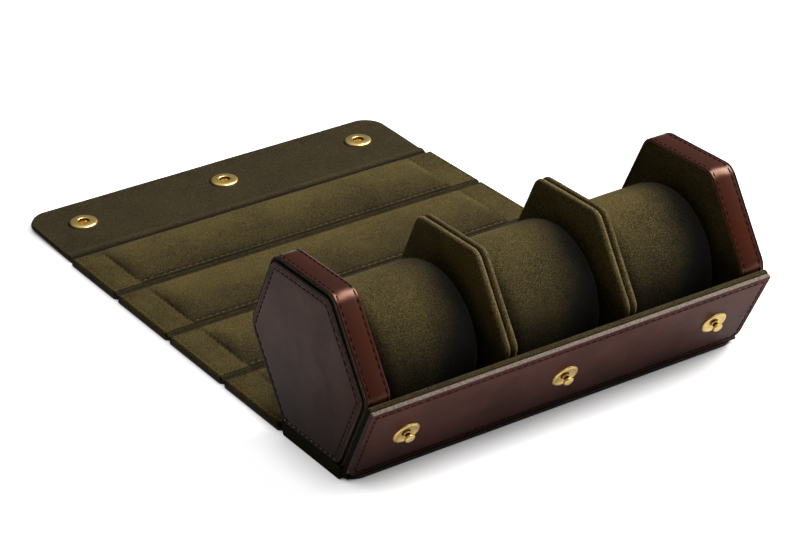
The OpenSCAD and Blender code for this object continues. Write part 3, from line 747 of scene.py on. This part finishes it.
panel_outlines = {panel: outline_of(f"{panel}_leather", (2.0,) * 4) for panel in panels}
for number, panel in enumerate(panels):
    leather_top = high(f"{panel}_leather").z
    sheet_of_leather(f"{panel}_calf", panel_outlines[panel], cut_edge(leather_top, 0.5, [leather_groove]),
                     grain_down(leather_top), (plum, plum_edge), panel, [f"{panel}_leather"])
    x_half, y0, y1, pad_half = panel_spans(panel)
    xs = fine_steps(-x_half, x_half, [
        (-x_half, 1.2), (x_half, 1.2), (outer_row - setback - x_half, 1.3),
        (x_half - outer_row + setback, 1.3), (-pad_half, 1.6), (pad_half, 1.6), (4.5 - pad_half, 3.0),
        (pad_half - 4.5, 3.0)], 2.4)
    ys = fine_steps(y0, y1, [(y0, 1.2), (y1, 1.2), (y0 + seam_row, 1.3), (y0 + 5.5, 2.5),
                             (y1 - 4.5, 3.0)], 2.0)
    points, faces = grid_solid(
        xs, ys, lambda x, y: (x, y, panel_height(x, y, x_half, y0, y1, 3.7 * number)),
        lambda x, y: (x, y, leather_top))
    piece = make_piece(f"{panel}_suede", points, faces, (olive,), panel,
                       [f"{panel}_lining", f"{panel}_pad"], crisp=60)

    def pad_light_and_shade(p):
        """Painted shade along both folds and next to the seam, and painted light growing across the pad
        towards the flap.
        """
        if min(p.y - y0, y1 - p.y) < 0.9:
            return -1.3
        if abs(p.x) > pad_half:
            return 0.1
        past_seam = p.y - y0 - seam_row
        return max(-0.8, min(0.6, 1.9 * past_seam / (y1 - y0) - 0.75)) - 0.5 * bell(past_seam, 0.8)

    paint_light_and_shade(piece, pad_light_and_shade)

# Each fold of the wrap: one strip of suede glued behind both leathers, which on the case bends with
# them; here it is drawn as the wrap lies open. It shows as a dark channel inside and a narrow dark line
# outside.
channel = [(-2.4, 1.65), (-0.95, 1.6), (-0.8, 1.0), (0.0, 0.7), (0.8, 1.0), (0.95, 1.6), (2.4, 1.65),
           (2.6, 2.9), (2.3, 3.35), (1.8, 3.5), (1.2, 3.3), (0.7, 2.8), (0.25, 2.1), (0.0, 1.9), (-0.25, 2.1),
           (-0.7, 2.8), (-1.2, 3.3), (-1.8, 3.5), (-2.3, 3.35), (-2.6, 2.9)]
inner_side = range(7, 19)
strip_half = case_half - 1.0
strip_steps = 40
stations = [-strip_half + 2 * strip_half * k / strip_steps for k in range(strip_steps + 1)]
# A strip's outer side, against the table, is the olive painted dark as shade.
for joint in frame["joints"]:
    parent, child = joint["parent"], joint["child"]
    if joint["type"] != "hinge" or child == "flap":
        continue
    axis = fold_of[child]
    strip = ringed_piece(f"{child}_fold_suede", [[(x, axis.y + y, z) for y, z in channel] for x in stations],
                         (olive_painted_shade, olive), None, [f"{child}_roll"],
                         lambda r, i: i in inner_side, crisp=60)
    # Painted shade: the fold's suede is darkened all over, which shows in its channel.
    paint_light_and_shade(strip, lambda p: -1.0)
    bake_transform(strip)

# The flap: unpadded calf and suede, cut with two round corners. On the case it bends over the front
# panel's top edge when closed; here it is drawn open, lying on its three snap caps.
bend = fold_of["flap"]
flap_half = high("flap_leather").x
flap_tip = high("flap_leather").y
root_start = low("flap_root_lining").y
snap_reach = high("snap_caps").y - (high("snap_caps").y - low("snap_caps").y) / 2
flap_leather_thick = high("flap_root_leather").z
flap_suede_top = high("flap_root_lining").z
flap_corner = 12.5
flap_tilt = math.radians(1.9688)
bend_reach = 4.0
snap_pitch = 81.0
snap_holes = [(x, snap_reach) for x in (-snap_pitch, 0.0, snap_pitch)]


def flap_rise(y):
    """How far the open flap has risen off the table at y, past its bend."""
    past = y - bend.y
    if past <= -bend_reach:
        return 0.0
    if past >= bend_reach:
        return math.tan(flap_tilt) * past
    return math.tan(flap_tilt) * (past + bend_reach) ** 2 / (4 * bend_reach)


def flap_sheet(name, start, trim, bottom, top, rounding, finish, stands_for):
    """One layer of the flap, trimmed all round, from start to its tip, with its edges rounded over."""
    half, tip, corner = flap_half - trim, flap_tip - trim, flap_corner - trim
    shares = [-1.0, -0.997, -0.992, -0.985, -0.97, -0.94]
    shares += [-0.9 + 1.8 * k / 30 for k in range(31)] + [-s for s in reversed(shares)]
    ys = fine_steps(start, tip, [(start + 3.0, 3.0), (bend.y, 5.0), (tip - 0.6, 0.6), (tip - 5.0, 4.4)], 1.6)

    def width(y):
        """Half the width at y, which the round corners narrow near the tip."""
        into = y - (tip - corner)
        return half if into <= 0 else half - corner + math.sqrt(max(corner ** 2 - into ** 2, 0.0))

    def edge_drop(x, y):
        return 1 - ease(min(width(y) - abs(x), tip - y) / rounding)

    def upper(share, y):
        x = share * width(y)
        return (x, y, top(x, y) + flap_rise(y) - rounding * edge_drop(x, y))

    def under(share, y):
        x = share * width(y)
        raised = bottom(y) + flap_rise(y) + rounding * edge_drop(x, y)
        return (x, y, min(raised, upper(share, y)[2] - 0.1))

    ys = [y for y in ys if y < tip - 0.01] + [tip - 0.01]
    points, faces = grid_solid(shares, ys, upper, under)
    return make_piece(name, points, faces, (finish,), None, stands_for, crisp=50)


def applied(piece):
    """The mesh that a piece has once its modifiers are applied."""
    bpy.context.view_layer.update()
    return bpy.data.meshes.new_from_object(piece.evaluated_get(bpy.context.evaluated_depsgraph_get()))


def cut_holes(piece, radius, low_z, high_z):
    """Punches a round hole through a piece at each snap, or a recess where the punch stops short."""
    punch = bmesh.new()
    for x, y in snap_holes:
        place = Matrix.Translation(Vector((x, y, (low_z + high_z) / 2 + flap_rise(y))) * mm)
        bmesh.ops.create_cone(punch, cap_ends=True, segments=48, radius1=radius * mm, radius2=radius * mm,
                              depth=(high_z - low_z) * mm, matrix=place)
    punch_mesh = bpy.data.meshes.new("punch")
    punch.to_mesh(punch_mesh)
    punch.free()
    tool = place_in_scene("punch", punch_mesh)
    cutting = piece.modifiers.new("punch", "BOOLEAN")
    cutting.operation = "DIFFERENCE"
    cutting.solver = "EXACT"
    cutting.use_self = True
    cutting.object = tool
    holed = applied(piece)
    piece.modifiers.clear()
    piece.data = holed
    bpy.data.objects.remove(tool)


flap_dark = suede("split suede, olive, nap laid flat", "221D10", "524628", "8C7B50", 0.22)


def flap_suede_foot(y):
    """The underside of the flap's suede: on the leather, and under it where the two leathers part."""
    return flap_leather_thick if y > root_start + 2.2 else 0.5


def flap_suede_height(x, y):
    """The flap's suede, which dips into the crease at its start and rises to a soft bead past it."""
    past = y - root_start
    bead_and_dip = 0.75 * bell(past - 5.2, 1.9) - 1.5 * bell(past - 1.0, 1.7)
    waves = 0.10 * noise.noise(Vector((x * 0.03, y * 0.05, 41.0)))
    return max(flap_suede_top + bead_and_dip + waves, flap_suede_foot(y) + 0.25)


flap_start = root_start + 2.0
flap_calf = flap_sheet("flap_calf", flap_start, 0.0, lambda y: 0.0, lambda x, y: flap_leather_thick,
                       0.45, plum, ["flap_root_leather", "flap_leather"])
flap_suede = flap_sheet("flap_suede", root_start, 0.4, flap_suede_foot, flap_suede_height,
                        0.4, flap_dark, ["flap_root_lining", "flap_lining"])
# Painted light on the bead past the crease, and painted shade between the bead and the crease.
paint_light_and_shade(flap_suede, lambda p: 0.6 * bell(p.y - root_start - 5.4, 1.4) - 1.4 * bell(p.y - root_start - 2.6, 0.9))
post_hole, cap_recess = 3.4, 7.6
cut_holes(flap_calf, post_hole, -3.0, 6.0)
cut_holes(flap_calf, cap_recess, -3.0, 0.4)
cut_holes(flap_suede, post_hole, -3.0, 6.0)
for layer in (flap_calf, flap_suede):
    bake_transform(layer)

# The snaps: three brass studs riveted through the front panel, and three spring sockets with domed
# caps on the flap. Turned brass, polished and lacquered, worn a little uneven, with painted shade in its
# hollows.
brass = two_toned("brass, turned and polished", 1.6, "CCA34E", "F3DA95", {"Metallic": 1.0},
                  {"Detail": 4.0, "Roughness": 0.6}, relief=(0.12, 0.1), polish=(0.26, 0.42))
brass_painted_shade = two_toned("brass, painted dark as shade in its hollows", 0.9, "1C1004", "4E3610",
                       {"Metallic": 1.0, "Roughness": 0.5}, {"Detail": 3.0, "Roughness": 0.6})
# The springs, down in the sockets' holes, take the brass painted dark as shade.
for node, finish in (("snap_rivets", brass), ("snap_caps", brass), ("snap_springs", brass_painted_shade)):
    mesh = frame["nodes"][node].data
    mesh.materials.clear()
    mesh.materials.append(finish)
    mesh.shade_smooth()
    mesh.set_sharp_from_angle(angle=math.radians(35))


def turned(name, profile, place, body, stands_for, painted_shade_rings):
    """Brass turned to a profile of (radius, height) points, one for each snap, with painted shade on the
    faces of the rings given.
    """
    around = 72
    turns = [2 * math.pi * k / around for k in range(around)]
    points, faces, which = [], [], []
    for at, _ in snap_holes:
        rings = [[place(at + radius * math.cos(a), radius * math.sin(a), height) for a in turns]
                 for radius, height in profile]
        turning, skin = skin_rings(rings, closed=True)
        faces += [tuple(len(points) + v for v in face) for face in skin]
        which += [int(f // around in painted_shade_rings) for f in range(len(skin))]
        points += turning
    return make_piece(name, points, faces, (brass, brass_painted_shade), body, stands_for, which, crisp=50)


# A stud is one turning: a dished ring with a raised lip, a slim neck out of its hollow and a round
# head. Its bore takes the rivet.
stud_up = 23.2
stud_profile = [(1.15, 0.0), (6.4, 0.0), (6.4, 0.22), (6.28, 0.5), (6.0, 0.74), (5.6, 0.88), (5.2, 0.88),
                (4.85, 0.74), (4.5, 0.5), (4.0, 0.34), (3.4, 0.28), (2.9, 0.34), (2.55, 0.3), (2.2, 0.12),
                (1.75, 0.1), (1.45, 0.22), (1.32, 0.6), (1.28, 1.3), (1.3, 2.1), (1.45, 2.36), (1.9, 2.46),
                (2.25, 2.62), (2.43, 2.9), (2.45, 3.2), (2.38, 3.55), (2.15, 3.86), (1.75, 4.07),
                (1.2, 4.17), (0.5, 4.2), (0.02, 4.2), (0.02, 1.3), (1.15, 1.2)]
turned("stud_turnings", stud_profile, lambda x, y, z: on_front(x, stud_up + y, front_thick + z), "tray",
       ["snap_studs"], range(13, 20))

# A socket is a domed ring round a hole, rolled under at its edge. The two spring wires cross the hole.
socket_profile = [(2.75, 0.0), (7.0, 0.0), (7.0, 0.3), (6.95, 0.65), (6.8, 0.92), (6.5, 1.14), (6.0, 1.3),
                  (5.3, 1.4), (4.6, 1.46), (4.1, 1.49), (3.6, 1.5), (3.2, 1.44), (2.95, 1.26), (2.8, 0.98),
                  (2.75, 0.6)]
socket_middle = (high("snap_sockets").y + low("snap_sockets").y) / 2
socket_from_bend = ((socket_middle - bend.y) / math.cos(flap_tilt)
                    + (flap_suede_top - bend.z) * math.tan(flap_tilt))


def on_socket(x, y, z):
    """A point of a socket as the flap lies open, with z up from the flap's suede, which is tilted."""
    y, z = socket_from_bend + y, flap_suede_top + z - bend.z
    return (x, bend.y + y * math.cos(flap_tilt) - z * math.sin(flap_tilt),
            bend.z + y * math.sin(flap_tilt) + z * math.cos(flap_tilt))


turned("socket_turnings", socket_profile, on_socket, "flap", ["snap_sockets"], range(12, 15))

# Greyboard stiffens the base, the front, the wrap, the caps and the dividers. It is covered all
# over: pressed paper pulp, grey-brown and fibrous.
greyboard = two_toned("greyboard, pressed pulp", 1.2, "7C7365", "A1978A", {"Roughness": 0.9},
                      {"Detail": 6.0})
for node, part in frame["nodes"].items():
    if node.endswith(("_board", "_boards")) or node in ("cap_left_core", "cap_right_core"):
        part.data.materials.clear()
        part.data.materials.append(greyboard)

# The cushions: a foam roll under suede, with a round end panel sewn in, that a watch strap closes
# round. Each lifts out.
cushion_rounding = 8.0
end_swell = 9.0
end_seam = 5.0
tuck_count = 46
rings_across, points_round = 84, 144
stations = [0.004 + 0.992 * r / rings_across for r in range(rings_across + 1)]
turns = [-2 * math.pi * k / points_round for k in range(points_round)]


def cushion_point(across, turn, radius, length, seed):
    """A point of a cushion: across runs from its left end's middle, over its side, to its right end's."""
    flat = radius - cushion_rounding
    arc = cushion_rounding * math.pi / 2
    total = 2 * flat + 2 * arc + length - 2 * end_swell
    run = across * total
    mirrored = run > total / 2
    if mirrored:
        run = total - run
    if run < flat:
        out, x = run, 0.0
    elif run < flat + arc:
        a = (run - flat) / cushion_rounding
        out, x = flat + cushion_rounding * math.sin(a), end_swell * (1 - math.cos(a))
    else:
        out, x = radius, end_swell + run - flat - arc
    pillow = 0.4 * (1 - (out / flat) ** 2) if out < flat else 0.0
    x += 0.5 * bell(run - (flat - end_seam + 4.0), 0.8) - pillow
    x = length - x if mirrored else x
    spot = Vector((x * 0.05, math.cos(turn) * 1.6, math.sin(turn) * 1.6 + seed))
    out += 0.35 * noise.noise(spot) * min(out / radius, 1.0) - 0.15
    out += 0.1 * math.sin(turn * tuck_count + 2 * math.sin(turn * 3 + seed)) * bell(run - flat + 1.0, 4.0)
    return x - length / 2, out * math.sin(turn), out * math.cos(turn)


for number, hand in enumerate(("left", "middle", "right")):
    cushion_low, cushion_high = low(f"cushion_{hand}_cover"), high(f"cushion_{hand}_cover")
    middle = (cushion_low + cushion_high) / 2
    radius = (cushion_high.z - cushion_low.z) / 2
    length = cushion_high.x - cushion_low.x
    rings = [[middle + Vector(cushion_point(across, turn, radius, length, 5.3 * number)) for turn in turns]
             for across in stations]
    piece = ringed_piece(f"cushion_{hand}_suede", rings, (olive,), f"cushion_{hand}",
                         [f"cushion_{hand}_cover", f"cushion_{hand}_core"], crisp=60)

    def cushion_light_and_shade(p):
        """Painted light on the cushion's upper back, painted shade below and in front, and more painted shade
        towards its right end, beside the divider.
        """
        turn = math.atan2(p.z - middle.z, p.y - middle.y)
        along = max(0.0, (p.x - middle.x) / length)
        return max(-1.55, 1.15 * math.cos(turn - math.radians(70)) - 0.72 - 3.3 * along)

    paint_light_and_shade(piece, cushion_light_and_shade)

# Saddle stitching: waxed linen thread, seven or so stitches to the inch, along every leather edge and
# through the suede margins of the wrap.
stitch_pitch = 3.5
stitch_long = 2.6
stitch_thick = 0.66


def waxed_thread(name, deep, pale, roughness):
    return two_toned(name, 0.8, deep, pale, {"Roughness": roughness, "Specular IOR Level": 0.05},
                     {"Detail": 2.0})


brown_thread = waxed_thread("linen thread, waxed, dark brown", "0E0807", "1E1210", 0.6)
gold_thread = waxed_thread("linen thread, waxed, olive gold", "6A5A2C", "A08C52", 0.6)
cream_thread = waxed_thread("linen thread, waxed, cream", "A99C86", "D8CDB8", 0.5)

stitches = bpy.data.node_groups.new("saddle stitches", "GeometryNodeTree")
stitches.interface.new_socket("Geometry", in_out="INPUT", socket_type="NodeSocketGeometry")
inputs = {}
for label, kind in (("Pitch", "Float"), ("Length", "Float"), ("Thickness", "Float"), ("Thread", "Material")):
    inputs[label] = stitches.interface.new_socket(label, in_out="INPUT",
                                                  socket_type=f"NodeSocket{kind}").identifier
stitches.interface.new_socket("Geometry", in_out="OUTPUT", socket_type="NodeSocketGeometry")
given = add_node(stitches, "NodeGroupInput").outputs
line = add_node(stitches, "GeometryNodeMeshToCurve", {"Mesh": given["Geometry"]})
spaced = add_node(stitches, "GeometryNodeResampleCurve", {"Curve": line, "Length": given["Pitch"]},
                  mode="LENGTH")
along = add_node(stitches, "GeometryNodeInputTangent")
aligned = add_node(stitches, "FunctionNodeAlignRotationToVector", {"Vector": along}, axis="X")
bead = add_node(stitches, "GeometryNodeMeshUVSphere", {"Segments": 8, "Rings": 6, "Radius": 0.5})
shape = add_node(stitches, "ShaderNodeCombineXYZ", {
    "X": given["Length"], "Y": given["Thickness"], "Z": given["Thickness"]})
sewn = add_node(stitches, "GeometryNodeInstanceOnPoints", {
    "Points": spaced, "Instance": bead, "Rotation": aligned, "Scale": shape})
solid = add_node(stitches, "GeometryNodeRealizeInstances", {"Geometry": sewn})
threaded = add_node(stitches, "GeometryNodeSetMaterial", {"Geometry": solid, "Material": given["Thread"]})
add_node(stitches, "NodeGroupOutput", {"Geometry": threaded})


def sew(name, rows, thread, body, long=stitch_long, thick=stitch_thick):
    """Sews rows of stitches, each a list of points in millimetres, and lets them ride on a body."""
    points, edges = [], []
    for row in rows:
        first = len(points)
        points += row
        edges += [(first + i, first + i + 1) for i in range(len(row) - 1)]
    mesh = bpy.data.meshes.new(name)
    mesh.from_pydata([Vector(p) * mm for p in points], edges, [])
    holder = place_in_scene(name + "_rows", mesh)
    sewing = holder.modifiers.new("sewing", "NODES")
    sewing.node_group = stitches
    for label, value in (("Pitch", stitch_pitch * mm), ("Length", long * mm), ("Thickness", thick * mm),
                         ("Thread", thread)):
        sewing[inputs[label]] = value
    done = applied(holder)
    bpy.data.objects.remove(holder)
    done.shade_smooth()
    piece = place_in_scene(name, done)
    if body:
        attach(piece, body)
    return piece


def closed_row(outline):
    """An outline as one row that comes back to its start."""
    return list(outline) + [outline[0]]


sunk = 0.08
groove_floor = 0.2 - sunk
foot_half = plate_apothem * math.tan(math.radians(30)) - 2.0
plate_row = hexagon_inset(plate_apothem, plate_corner, on_leather)
band_row = closed_row(hexagon_inset(cap_apothem, band_corner, sunk))
front_row, base_row = closed_row(front_outline(on_leather)), closed_row(base_outline(on_leather))
tray_rows = [[(side * (case_half - groove_floor), y, z) for y, z in plate_row] for side, _ in sides]
tray_rows.append([on_front(x, up, front_thick - groove_floor) for x, up in front_row])
tray_rows.append([(x, y, groove_floor) for x, y in base_row])
band_rows = [[(side * x, y, z) for y, z in band_row]
             for side, _ in sides for x in (inner_row, outer_band_row)]
foot_rows = [[(side * (case_half + sunk - 0.1), y, plate_low.z + 1.7) for y in (-foot_half, 0.0, foot_half)]
             for side, _ in sides]
sew("tray_stitches", tray_rows, brown_thread, "tray")
sew("band_stitches", band_rows, brown_thread, "tray")
sew("foot_stitches", foot_rows, cream_thread, "tray", thick=0.42, long=1.6)

row_steps, seam_steps = 24, 80
row_end = 1.6
for number, panel in enumerate(panels):
    x_half, y0, y1, pad_half = panel_spans(panel)
    row = closed_row(panel_outlines[panel](on_leather))
    sew(f"{panel}_stitches", [[(x, y, 0.25) for x, y in row]], brown_thread, panel)

    def on_suede(x, y):
        return (x, y, panel_height(x, y, x_half, y0, y1, 3.7 * number) + 0.14)

    row_long = y1 - y0 - 2 * row_end
    rows = [[on_suede(x, y0 + row_end + row_long * k / row_steps) for k in range(row_steps + 1)]
            for side, _ in sides for x in (side * (x_half + setback - outer_row), side * pad_half)]
    seam = [on_suede(-pad_half + 2 * pad_half * k / seam_steps, y0 + seam_row)
            for k in range(seam_steps + 1)]
    sew(f"{panel}_margin_stitches", rows, gold_thread, panel, thick=0.55, long=1.9)
    sew(f"{panel}_seam_stitches", [seam], gold_thread, panel, thick=0.36, long=1.8)


def under_flap(x, y):
    return (x, y, 0.12 + flap_rise(y))


flap_radii = (0.05, 0.05, flap_corner, flap_corner)
flap_outline = rectangle_inset(-flap_half, flap_half, flap_start, flap_tip, flap_radii, on_leather)
corners = closed_row([under_flap(x, y) for x, y in flap_outline])
flap_row = []
for here, after in zip(corners, corners[1:]):
    parts = max(1, round(math.dist(here, after) / 1.5))
    for k in range(parts):
        x, y = (start + (end - start) * k / parts for start, end in zip(here[:2], after))
        flap_row.append(under_flap(x, y))
flap_sewn = sew("flap_stitches", [closed_row(flap_row)], brown_thread, None)
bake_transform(flap_sewn)
